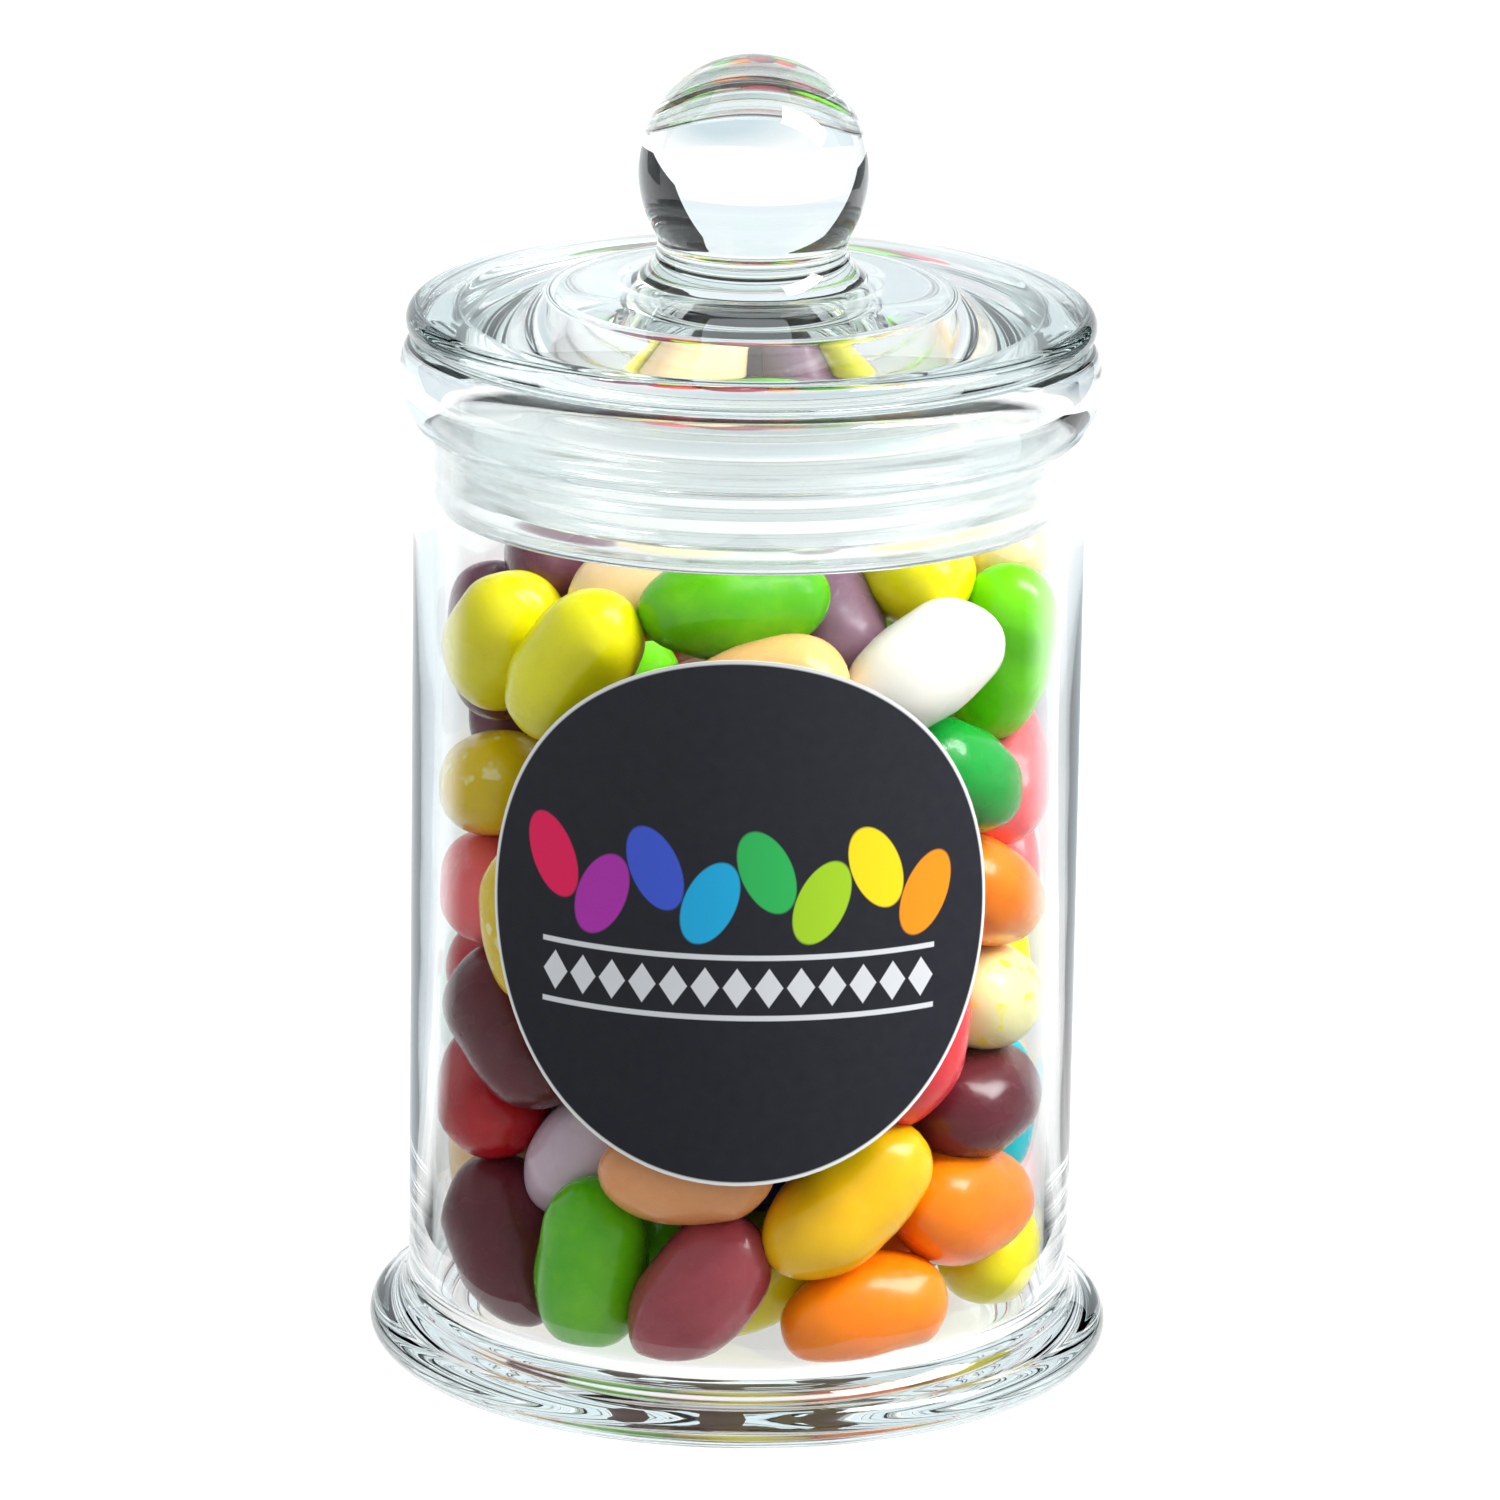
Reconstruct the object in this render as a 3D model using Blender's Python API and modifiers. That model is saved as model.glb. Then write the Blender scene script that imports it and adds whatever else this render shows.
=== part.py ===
"""A lidded glass jar filled with jelly beans.

The jar stands on its foot at the origin, with +Z up and its label facing -Y. Lengths below are
in millimetres and are turned into metres where the meshes are made.
"""

import math
import random

import bmesh
import bpy
from mathutils import Matrix, Vector

MM = 0.001
SIDES = 48  # flat sides that stand for each full turn
GAP = 0.3  # clearance between two pieces that touch on the real jar

# Jar
BODY_RADIUS = 29.0
WALL = 1.75
BORE_RADIUS = BODY_RADIUS - WALL
MOUTH_HEIGHT = 90.1
RIM_ROUNDING = 0.8
FLOOR_HEIGHT = 3.9
FLOOR_FILLET = 3.2
FOOT_RADIUS = 32.4
FOOT_ROUNDING = 2.0
FLARE_HEIGHT = 7.6
FOOT_SHOULDER = (31.5, 3.8)  # where the flare meets the rounding of the foot
FLARE_PULL = (BODY_RADIUS, 4.7)
STANDING_RING_INNER = 25.0
STANDING_RING_SLOPE = 2.0
UNDERSIDE_RECESS = 0.8
COLLAR_RADIUS = 30.3
COLLAR_TOP = MOUTH_HEIGHT - 0.2
COLLAR_SHOULDER = MOUTH_HEIGHT - 0.6
COLLAR_HEIGHT = 87.0
COLLAR_WAIST = (29.715, 85.35)
COLLAR_FOOT = 83.7

# Lid
TOTAL_HEIGHT = 115.0
BALL_RADIUS = 10.0
BALL_HEIGHT = TOTAL_HEIGHT - BALL_RADIUS
BALL_END = -33  # degrees below level at which the ball runs into the neck
NECK_PULL = (7.6, 97.6)
NECK_FLARE_RADIUS = 10.0
NECK_FOOT = 95.7
FLANGE_RADIUS = 29.75
FLANGE_THICKNESS = 2.9
DOME_PULL = (20.825, 95.3)
FLANGE_BOTTOM = MOUTH_HEIGHT + GAP
PLUG_RADIUS = 24.4
PLUG_BOTTOM = 77.0
HOLLOW_MOUTH_RADIUS = 20.2
HOLLOW_CEILING_RADIUS = 17.6
HOLLOW_CEILING = 91.8
HOLLOW_FILLET = 1.0

# Seal
SEAL_BOTTOM = 76.3
SEAL_TOP = FLANGE_BOTTOM - GAP
SEAL_RIBS = 6
RIB_CREST = BORE_RADIUS - GAP - 0.1
RIB_VALLEY = RIB_CREST - 0.9

# Label
LABEL_DIAMETER = 46.4
LABEL_CENTRE_HEIGHT = 46.3
LABEL_THICKNESS = 0.25
LABEL_TURN = math.radians(-0.8)
LABEL_SIDES = 32
LABEL_RINGS = 4

# Heap of beans
BEAN_LENGTH = 16.1
BEAN_WIDTH = 10.0
BEAN_BOW = 0.7
HEAP_RADIUS = BORE_RADIUS - 2 * GAP
HEAP_BOTTOM = FLOOR_HEIGHT + GAP
HEAP_TOP = SEAL_BOTTOM - GAP
CORE_BOTTOM = HEAP_BOTTOM + 0.5
CORE_TOP = HEAP_TOP - 0.6 * BEAN_WIDTH
HEAP_HOLLOW = 4.2  # how deep the gaps between neighbouring beans go
HEAP_VOXEL = 1.5
HEAP_KEPT = 0.155
WALL_ROWS = 8
END_ROW_ROOM = 0.9  # room that the leaning beans of the lowest and highest rows need
BEANS_A_ROW = 9
TOP_BEANS = 15


def arc(centre, radius, start, end, points):
    """Points (r, z) along an arc, with angles in degrees from +r towards +z."""
    found = []
    for i in range(points):
        angle = math.radians(start + (end - start) * i / (points - 1))
        found.append((centre[0] + radius * math.cos(angle), centre[1] + radius * math.sin(angle)))
    return found


def bow(start, pull, end, points):
    """Points along a curve from start to end that bends towards pull."""
    found = []
    for i in range(points):
        t = i / (points - 1)
        found.append(
            tuple((1 - t) ** 2 * a + 2 * t * (1 - t) * b + t**2 * c for a, b, c in zip(start, pull, end))
        )
    return found


def jar_profile():
    """From the middle of the floor inside, up, over the rim and down the outside to the middle below."""
    foot_centre = (FOOT_RADIUS - FOOT_ROUNDING, FOOT_ROUNDING)
    return [
        (0, FLOOR_HEIGHT),
        *arc((BORE_RADIUS - FLOOR_FILLET, FLOOR_HEIGHT + FLOOR_FILLET), FLOOR_FILLET, -90, 0, 4),
        *arc((BORE_RADIUS + RIM_ROUNDING, MOUTH_HEIGHT - RIM_ROUNDING), RIM_ROUNDING, 180, 90, 3),
        *bow(
            (BODY_RADIUS, COLLAR_TOP),
            (COLLAR_RADIUS, COLLAR_SHOULDER),
            (COLLAR_RADIUS, COLLAR_HEIGHT),
            4,
        ),
        COLLAR_WAIST,
        (BODY_RADIUS, COLLAR_FOOT),
        *bow((BODY_RADIUS, FLARE_HEIGHT), FLARE_PULL, FOOT_SHOULDER, 4),
        *arc(foot_centre, FOOT_ROUNDING, 30, -90, 5),
        (STANDING_RING_INNER, 0),
        (STANDING_RING_INNER - STANDING_RING_SLOPE, UNDERSIDE_RECESS),
        (0, UNDERSIDE_RECESS),
    ]


def lid_profile():
    """From the top of the ball down the outside, then under the flange and up inside the plug."""
    edge = 0.5 * FLANGE_THICKNESS
    rounding = 0.5 * (PLUG_RADIUS - HOLLOW_MOUTH_RADIUS)
    edge_centre = (FLANGE_RADIUS - edge, FLANGE_BOTTOM + edge)
    ball = arc((0, BALL_HEIGHT), BALL_RADIUS, 90, BALL_END, 9)
    ball[0] = (0, TOTAL_HEIGHT)
    neck_foot = (NECK_FLARE_RADIUS, NECK_FOOT)
    neck = bow(ball[-1], NECK_PULL, neck_foot, 4)
    flange_top = (edge_centre[0], FLANGE_BOTTOM + FLANGE_THICKNESS)
    dome = bow(neck_foot, DOME_PULL, flange_top, 4)
    return [
        *ball,
        *neck[1:],
        *dome[1:-1],
        *arc(edge_centre, edge, 90, -90, 5),
        (PLUG_RADIUS, FLANGE_BOTTOM),
        *arc((PLUG_RADIUS - rounding, PLUG_BOTTOM + rounding), rounding, 0, -180, 4),
        (HOLLOW_CEILING_RADIUS, HOLLOW_CEILING - HOLLOW_FILLET),
        (HOLLOW_CEILING_RADIUS - HOLLOW_FILLET, HOLLOW_CEILING),
        (0, HOLLOW_CEILING),
    ]


def seal_profile():
    """A closed loop: down the ribs outside, and up the smooth inside."""
    rib = (SEAL_TOP - SEAL_BOTTOM) / SEAL_RIBS
    outside = [(RIB_VALLEY, SEAL_TOP)]
    for i in range(SEAL_RIBS):
        top = SEAL_TOP - i * rib
        outside.append((RIB_CREST, top - 0.5 * rib))
        outside.append((RIB_VALLEY, top - rib))
    inner = PLUG_RADIUS + GAP
    return [*outside, (inner, SEAL_BOTTOM), (inner, SEAL_TOP)]


def material(name, colour, roughness, transmission=0.0):
    """A Principled material with its colour, roughness and clearness."""
    made = bpy.data.materials.new(name)
    made.use_nodes = True
    made.diffuse_color = (*colour, 1)
    shader = made.node_tree.nodes["Principled BSDF"]
    shader.inputs["Base Color"].default_value = (*colour, 1)
    shader.inputs["Roughness"].default_value = roughness
    shader.inputs["Metallic"].default_value = 0
    shader.inputs["Transmission Weight"].default_value = transmission
    shader.inputs["IOR"].default_value = 1.5
    return made


def place(name, mesh, collection, finish):
    """An object of this mesh and material in the collection, with round faces shaded smooth."""
    mesh.materials.append(finish)
    mesh.shade_smooth()
    mesh.set_sharp_from_angle(angle=math.radians(35))
    made = bpy.data.objects.new(name, mesh)
    collection.objects.link(made)
    return made


def turned(name, profile, collection, finish, ring=False):
    """A solid of revolution about Z, from points (r, z) that run down its outer side."""
    outline = bmesh.new()
    points = [outline.verts.new((r * MM, 0, z * MM)) for r, z in profile]
    ends = points[1:] + points[:1] if ring else points[1:]
    for start, end in zip(points, ends):
        outline.edges.new((start, end))
    mesh = bpy.data.meshes.new(name)
    outline.to_mesh(mesh)
    outline.free()
    made = place(name, mesh, collection, finish)
    screw = made.modifiers.new("Turn", "SCREW")
    screw.axis = "Z"
    screw.angle = math.tau
    screw.steps = screw.render_steps = SIDES
    screw.use_merge_vertices = True
    screw.merge_threshold = 0.00001
    screw.use_smooth_shade = True
    return made


def wrapped_disc(name, collection, finish):
    """A round sticker: a flat disc of rings, wrapped round the body and given its thickness."""
    disc = bmesh.new()
    centre = disc.verts.new((0, 0, 0))
    rings = []
    for i in range(1, LABEL_RINGS + 1):
        radius = 0.5 * LABEL_DIAMETER * i / LABEL_RINGS
        rings.append(bmesh.ops.create_circle(disc, segments=LABEL_SIDES, radius=radius)["verts"])
    for inner, outer in zip(rings, rings[1:]):
        for j in range(LABEL_SIDES):
            k = (j + 1) % LABEL_SIDES
            disc.faces.new((inner[j], outer[j], outer[k], inner[k]))
    for j in range(LABEL_SIDES):
        disc.faces.new((centre, rings[0][j], rings[0][(j + 1) % LABEL_SIDES]))
    radius = BODY_RADIUS + GAP
    for vert in disc.verts:
        turn = vert.co.x / radius + LABEL_TURN
        height = LABEL_CENTRE_HEIGHT + vert.co.y
        vert.co = (radius * math.sin(turn) * MM, -radius * math.cos(turn) * MM, height * MM)
    bmesh.ops.recalc_face_normals(disc, faces=disc.faces)
    if sum(face.normal.y for face in disc.faces) > 0:
        bmesh.ops.reverse_faces(disc, faces=disc.faces)
    mesh = bpy.data.meshes.new(name)
    disc.to_mesh(mesh)
    disc.free()
    made = place(name, mesh, collection, finish)
    paper = made.modifiers.new("Paper", "SOLIDIFY")
    paper.thickness = LABEL_THICKNESS * MM
    paper.offset = 1
    return made


def bean(into, place_at):
    """One bean in the heap: a ball drawn out to its length and bowed a little, like a kidney."""
    half_length, half_width = 0.5 * BEAN_LENGTH, 0.5 * BEAN_WIDTH
    ball = bmesh.ops.create_uvsphere(into, u_segments=12, v_segments=8, radius=1)["verts"]
    for vert in ball:
        across, up, along = vert.co
        bow_in = BEAN_BOW * (1 - 2 * along**2)
        shaped = Vector((along * half_length, across * half_width + bow_in, up * half_width))
        vert.co = place_at @ shaped


def wall_beans(into):
    """Beans that press on the glass, in staggered rows, each leaning its own way."""
    chance = random.Random(5)
    reach = HEAP_RADIUS - 0.5 * BEAN_WIDTH + 0.6 * BEAN_BOW
    lowest = HEAP_BOTTOM + 0.5 * BEAN_WIDTH + END_ROW_ROOM
    pitch = (HEAP_TOP - HEAP_BOTTOM - BEAN_WIDTH - 2 * END_ROW_ROOM) / (WALL_ROWS - 1)
    for row in range(WALL_ROWS):
        most_lean = 0.5 if row in (0, WALL_ROWS - 1) else 1.2
        for place_in_row in range(BEANS_A_ROW):
            share = (place_in_row + 0.5 * (row % 2) + chance.uniform(-0.15, 0.15)) / BEANS_A_ROW
            height = lowest + row * pitch
            lean = chance.uniform(-most_lean, most_lean)
            turn = Matrix.Rotation(share * math.tau, 4, "Z")
            stand = Matrix.Translation((0, -reach, height)) @ Matrix.Rotation(lean, 4, "Y")
            bean(into, turn @ stand)


def top_beans(into):
    """Beans that lie on top, spread like the seeds of a sunflower."""
    chance = random.Random(11)
    reach = HEAP_RADIUS - 0.5 * BEAN_WIDTH
    for i in range(TOP_BEANS):
        radius = reach * math.sqrt((i + 0.5) / TOP_BEANS)
        turn = Matrix.Rotation(i * math.pi * (3 - math.sqrt(5)), 4, "Z")
        swing = chance.uniform(-1.5, 1.5) * (1 - (radius / reach) ** 2)
        drop = chance.uniform(0, 1.5)
        stand = Matrix.Translation((0, -radius, HEAP_TOP - 0.5 * BEAN_WIDTH - drop))
        bean(into, turn @ stand @ Matrix.Rotation(swing, 4, "Z"))


def heap(name, collection, finish):
    """The beans as one solid: beans at the wall and on top, melted together with a plain core."""
    beans = bmesh.new()
    bmesh.ops.create_cone(
        beans,
        cap_ends=True,
        segments=SIDES,
        radius1=HEAP_RADIUS - HEAP_HOLLOW,
        radius2=HEAP_RADIUS - HEAP_HOLLOW,
        depth=CORE_TOP - CORE_BOTTOM,
        matrix=Matrix.Translation((0, 0, 0.5 * (CORE_TOP + CORE_BOTTOM))),
    )
    wall_beans(beans)
    top_beans(beans)
    bmesh.ops.scale(beans, vec=(MM, MM, MM), verts=beans.verts)
    mesh = bpy.data.meshes.new(name)
    beans.to_mesh(mesh)
    beans.free()
    made = place(name, mesh, collection, finish)
    melt = made.modifiers.new("Melt together", "REMESH")
    melt.mode = "VOXEL"
    melt.voxel_size = HEAP_VOXEL * MM
    melt.use_smooth_shade = True
    thin = made.modifiers.new("Thin out", "DECIMATE")
    thin.ratio = HEAP_KEPT
    return made


def main():
    for old in list(bpy.data.objects):
        bpy.data.objects.remove(old)
    parts = bpy.data.collections.new("jar_of_jelly_beans")
    bpy.context.scene.collection.children.link(parts)
    glass = material("clear_glass", (0.93, 0.97, 0.95), 0.03, transmission=1.0)
    soft_plastic = material("seal_plastic", (0.86, 0.89, 0.90), 0.30, transmission=0.7)
    sticker = material("label_black", (0.018, 0.019, 0.022), 0.35)
    candy = material("jelly_bean_candy", (0.62, 0.50, 0.16), 0.22)
    turned("jar", jar_profile(), parts, glass)
    turned("lid", lid_profile(), parts, glass)
    turned("seal", seal_profile(), parts, soft_plastic, ring=True)
    wrapped_disc("label", parts, sticker)
    heap("jelly_beans", parts, candy)


main()
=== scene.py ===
# %% [markdown]
# # A glass jar of jelly beans
#
# This lesson finishes a small sweet jar. The construction, made earlier, gives five plain solids:
# the jar, its lid, the seal on the lid, the label, and the heap of beans as one lump. Here each
# of them gets its real surface. The glass is turned again with many more sides, because glass
# shows every flat it has, and the lump becomes a hundred separate beans that lie as poured.
#
# Everything is placed from the boxes of those five solids, so nothing has to be fitted later.

# %% Load the construction
import math
import random

import bpy
import numpy as np
from mathutils import Matrix, Vector


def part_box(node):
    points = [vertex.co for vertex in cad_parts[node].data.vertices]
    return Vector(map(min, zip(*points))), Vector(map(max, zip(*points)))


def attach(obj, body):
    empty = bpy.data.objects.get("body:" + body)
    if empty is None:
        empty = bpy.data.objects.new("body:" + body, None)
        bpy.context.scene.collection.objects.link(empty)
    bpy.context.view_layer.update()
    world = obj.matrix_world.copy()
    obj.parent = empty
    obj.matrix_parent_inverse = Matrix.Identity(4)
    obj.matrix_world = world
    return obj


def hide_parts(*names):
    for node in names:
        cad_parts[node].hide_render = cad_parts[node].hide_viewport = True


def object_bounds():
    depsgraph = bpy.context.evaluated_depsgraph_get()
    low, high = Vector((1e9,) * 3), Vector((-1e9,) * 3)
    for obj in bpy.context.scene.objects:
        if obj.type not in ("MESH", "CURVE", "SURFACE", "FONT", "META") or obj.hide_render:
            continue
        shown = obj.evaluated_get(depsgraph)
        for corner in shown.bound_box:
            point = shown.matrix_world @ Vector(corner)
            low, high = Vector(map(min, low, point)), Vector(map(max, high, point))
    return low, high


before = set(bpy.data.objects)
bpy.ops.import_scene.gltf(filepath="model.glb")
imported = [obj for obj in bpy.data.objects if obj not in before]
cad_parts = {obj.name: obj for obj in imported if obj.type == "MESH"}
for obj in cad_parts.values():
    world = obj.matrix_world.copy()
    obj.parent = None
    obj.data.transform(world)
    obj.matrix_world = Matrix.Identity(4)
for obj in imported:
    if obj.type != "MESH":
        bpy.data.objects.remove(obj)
MM = 0.001
cad_low, cad_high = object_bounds()
jar_low, jar_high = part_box("jar")
lid_low, lid_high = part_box("lid")
seal_low, seal_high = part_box("seal")
label_low, label_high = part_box("label")
heap_low, heap_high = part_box("jelly_beans")
print("nodes:", sorted(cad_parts))
print("height in mm:", round((cad_high.z - cad_low.z) / MM, 1))

# %% [markdown]
# ## Camera
#
# A long lens keeps the sides of a small jar nearly upright, so the camera stands almost a metre
# away and looks down a little, at the height of the label. The jar leans by less than a degree
# in the picture, which is the camera's own roll.

# %% Set up the camera
CAMERA_DISTANCE = 0.913
CAMERA_ELEVATION = math.radians(16)
CAMERA_ROLL = math.radians(0.85)
LENS_MM = 252
aim = Vector((0.0004, 0, 0.464 * cad_high.z))

camera_data = bpy.data.cameras.new("camera")
camera_data.lens = LENS_MM
camera_data.sensor_width = 36
camera_data.clip_start = 0.05
camera_data.clip_end = 20
camera = bpy.data.objects.new("camera", camera_data)
bpy.context.scene.collection.objects.link(camera)
towards_camera = Vector((0, -math.cos(CAMERA_ELEVATION), math.sin(CAMERA_ELEVATION)))
camera.location = aim + CAMERA_DISTANCE * towards_camera
camera.rotation_mode = "QUATERNION"
level = towards_camera.to_track_quat("Z", "Y")
camera.rotation_quaternion = level @ Matrix.Rotation(CAMERA_ROLL, 3, "Z").to_quaternion()
bpy.context.scene.camera = camera
print("camera at", [round(c, 3) for c in camera.location])

# %% [markdown]
# ## Writing materials as sums
#
# A material is a graph of nodes, but a pattern is easier to read as arithmetic. The small class
# below wraps one output of a node. Adding or multiplying two of them makes the Math node that
# does it, so `1 - mask` is a node graph too. `Material.node` makes any other node: its settings
# first, then the values or links of its sockets.

# %% Helpers for materials
class Value:
    """One output of a node, with arithmetic that adds Math nodes."""

    def __init__(self, graph, socket):
        self.graph = graph
        self.socket = socket

    def maths(self, operation, *others):
        """This value put through a Math node with the others."""
        inputs = dict(enumerate((self, *others)))
        return self.graph.node("ShaderNodeMath", {"operation": operation}, inputs)

    def __add__(self, other):
        return self.maths("ADD", other)

    __radd__ = __add__

    def __sub__(self, other):
        return self.maths("SUBTRACT", other)

    def __rsub__(self, other):
        return self.graph.node("ShaderNodeMath", {"operation": "SUBTRACT"}, {0: other, 1: self})

    def __mul__(self, other):
        return self.maths("MULTIPLY", other)

    __rmul__ = __mul__

    def __truediv__(self, other):
        return self.maths("DIVIDE", other)

    def __pow__(self, power):
        return self.maths("POWER", power)

    def clipped(self, low, high):
        """0 below low, 1 above high, and an even slope between, also for low above high."""
        wanted = {"From Min": low, "From Max": high, "Value": self}
        return self.graph.node("ShaderNodeMapRange", {"clamp": True}, wanted)

    def part(self, name):
        """Another output of the same node, such as the Y of a vector taken apart."""
        return Value(self.graph, self.socket.node.outputs[name])


class Graph:
    """The nodes of a material or a world, written in code."""

    def __init__(self, data):
        self.data = data
        self.data.use_nodes = True
        self.nodes = self.data.node_tree.nodes
        self.links = self.data.node_tree.links

    def node(self, kind, settings=None, inputs=None, output=0):
        """A node of this kind with its settings and inputs, as one of its outputs."""
        made = self.nodes.new(kind)
        for name, setting in (settings or {}).items():
            setattr(made, name, setting)
        for name, value in (inputs or {}).items():
            self.feed(made.inputs[name], value)
        return Value(self, made.outputs[output])

    def feed(self, socket, value):
        """Links a Value to a socket, or sets the socket to a number, a vector or a colour."""
        if isinstance(value, Value):
            self.links.new(value.socket, socket)
        elif socket.type == "RGBA" and len(value) == 3:
            socket.default_value = (*value, 1)
        else:
            socket.default_value = value

    def mix(self, share, first, second):
        """The first colour where share is 0 and the second where it is 1."""
        made = self.nodes.new("ShaderNodeMix")
        made.data_type = "RGBA"
        for name, value in (("Factor_Float", share), ("A_Color", first), ("B_Color", second)):
            self.feed(next(s for s in made.inputs if s.identifier == name), value)
        return Value(self, next(s for s in made.outputs if s.identifier == "Result_Color"))


class Material(Graph):
    """A material with a Principled shader."""

    def __init__(self, name):
        super().__init__(bpy.data.materials.new(name))
        self.shader = self.nodes["Principled BSDF"]
        self.output = self.nodes["Material Output"]

    def set(self, **sockets):
        """Sets or links the Principled shader's sockets, with _ for the spaces in their names."""
        for name, value in sockets.items():
            self.feed(self.shader.inputs[name.replace("_", " ")], value)

    def place(self):
        """Where a point is on the piece, in metres."""
        return self.node("ShaderNodeTexCoord", output="Object")

    def noise(self, scale, detail=2.0, roughness=0.5, at=None, output="Fac"):
        """Soft cloudy values from 0 to 1, with `scale` clouds in a metre."""
        wanted = {"Vector": at or self.place(), "Scale": scale, "Detail": detail, "Roughness": roughness}
        return self.node("ShaderNodeTexNoise", {}, wanted, output)

    def bump(self, height, strength, distance):
        """Tilts the surface by a height pattern: distance is how tall height 1 stands, in metres."""
        wanted = {"Height": height, "Strength": strength, "Distance": distance}
        self.set(Normal=self.node("ShaderNodeBump", {}, wanted))

    def let_light_through(self):
        """Lets lamps, and light on its way between surfaces, cross this glass unbent."""
        clear = self.node("ShaderNodeBsdfTransparent").socket
        shown = self.shader.outputs[0]
        for ray in ("Is Diffuse Ray", "Is Shadow Ray"):
            mixed = self.nodes.new("ShaderNodeMixShader")
            path = self.nodes.new("ShaderNodeLightPath")
            self.links.new(path.outputs[ray], mixed.inputs[0])
            self.links.new(shown, mixed.inputs[1])
            self.links.new(clear, mixed.inputs[2])
            shown = mixed.outputs[0]
        self.links.new(shown, self.output.inputs["Surface"])

    def tint_inside(self, colour, density):
        """Soaks up light on its way through the body of the piece, more in its thick parts."""
        body = self.node("ShaderNodeVolumeAbsorption", {}, {"Color": colour, "Density": density})
        self.links.new(body.socket, self.output.inputs["Volume"])


# %% [markdown]
# ## Turning glass on a lathe
#
# Pressed glass is round, so its shape is one outline, spun about the upright axis. By hand that
# is a row of vertices extruded one after another, then the Spin operator. The outline could also
# stay a Screw modifier, but spun once the mesh is final and its seam is welded. Round corners
# are arcs with many points, because a lens as strong as this shows the smallest flat.

# %% Helpers for modelling
SIDES = 192


def arc(centre, radius, start, end, points):
    """Points (r, z) along an arc, with angles in degrees from outwards towards up."""
    turns = (math.radians(start + (end - start) * i / (points - 1)) for i in range(points))
    return [(centre[0] + radius * math.cos(t), centre[1] + radius * math.sin(t)) for t in turns]


def bow(start, pull, end, points):
    """Points along a curve from start to end that bends towards pull."""
    found = []
    for i in range(points):
        t = i / (points - 1)
        weights = ((1 - t) ** 2, 2 * t * (1 - t), t**2)
        found.append(tuple(sum(w * p[k] for w, p in zip(weights, (start, pull, end))) for k in (0, 1)))
    return found


def deselect_objects():
    """Leaves object mode with nothing selected, so that the next operator acts on the new piece."""
    if bpy.context.mode != "OBJECT":
        bpy.ops.object.mode_set(mode="OBJECT")
    bpy.ops.object.select_all(action="DESELECT")


def tidy_edit_mesh():
    """Welds doubles, turns every face outwards and goes back to object mode."""
    bpy.ops.mesh.select_all(action="SELECT")
    bpy.ops.mesh.remove_doubles(threshold=0.000001)
    bpy.ops.mesh.normals_make_consistent(inside=False)
    bpy.ops.object.mode_set(mode="OBJECT")


def lathe(name, outline, closed=False):
    """Draws an outline of (r, z) in mm as a chain of vertices and spins it about the axis."""
    deselect_objects()
    bpy.ops.mesh.primitive_plane_add(size=0.001, location=(0, 0, 0))
    piece = bpy.context.object
    piece.name = piece.data.name = name
    bpy.ops.object.mode_set(mode="EDIT")
    bpy.ops.mesh.merge(type="CENTER")
    here = Vector((0, 0, 0))
    chain = [Vector((r * MM, 0, z * MM)) for r, z in outline]
    bpy.ops.transform.translate(value=chain[0] - here)
    for before, after in zip(chain, chain[1:] + chain[:1] * closed):
        bpy.ops.mesh.extrude_region_move(TRANSFORM_OT_translate={"value": after - before})
    bpy.ops.mesh.select_all(action="SELECT")
    bpy.ops.mesh.spin(steps=SIDES, angle=math.tau, center=(0, 0, 0), axis=(0, 0, 1))
    tidy_edit_mesh()
    bpy.ops.object.shade_smooth()
    print(name, len(piece.data.polygons), "faces")
    return piece


def finish(piece, material, slot, *stands_for):
    """Gives a piece its material, hangs it under the root body and hides the solids of the construction that it
    stands for.
    """
    piece.data.materials.clear()
    piece.data.materials.append(material.data)
    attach(piece, "root")
    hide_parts(*stands_for)
    return piece


# %% [markdown]
# ## Clear glass
#
# Soda glass bends light by 1.52 and is faintly green where a ray crosses a lot of it. A
# Principled shader with full transmission does both. Its surface isn't perfect: pressed glass
# has slow waves from the mould, which show as wobbles in what is seen through it, so a very
# shallow bump of large soft noise goes on the normal. Lamps would take long to find the beans
# through curved glass, so light that isn't seen directly crosses it unbent.

# %% The glass
GLASS_TINT = (0.50, 0.79, 0.80)
GLASS_DENSITY = 5


def glass(name, wave_height, mirror):
    """Clear pressed glass with mould waves of this height in metres; mirror is 0.5 for plain glass."""
    made = Material(name)
    made.set(Transmission_Weight=1.0, IOR=1.5, Roughness=0.0, Specular_IOR_Level=mirror)
    smudge = made.noise(60, 3.0).clipped(0.35, 0.75)
    made.set(Base_Color=made.mix(smudge, (0.995, 0.998, 0.998), (0.975, 0.99, 0.985)))
    made.bump(made.noise(70, 1.0), 1.0, wave_height)
    made.let_light_through()
    made.tint_inside(GLASS_TINT, GLASS_DENSITY)
    return made


jar_glass = glass("jar_glass", 0.00004, 0.08)
lid_glass = glass("lid_glass", 0.00003, 0.5)

# %% [markdown]
# ## The jar
#
# The jar is one closed wall of glass: a thick floor, an upright side 1.75 mm thick, a rolled
# collar at the mouth and a foot that flares out to carry it. Its real thickness matters more
# than its outline. A thin skin would look like a plastic bag, while a true wall bends light at
# its edges into the grey bands by which the eye knows glass.

# %% Turn the jar
jar_height = (jar_high.z - jar_low.z) / MM
foot_radius = jar_high.x / MM
body_radius = foot_radius - 3.4
wall = 1.75
bore_radius = body_radius - wall
floor_height = 3.9
foot_rounding = 2.0
collar_radius = body_radius + 1.3

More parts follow.
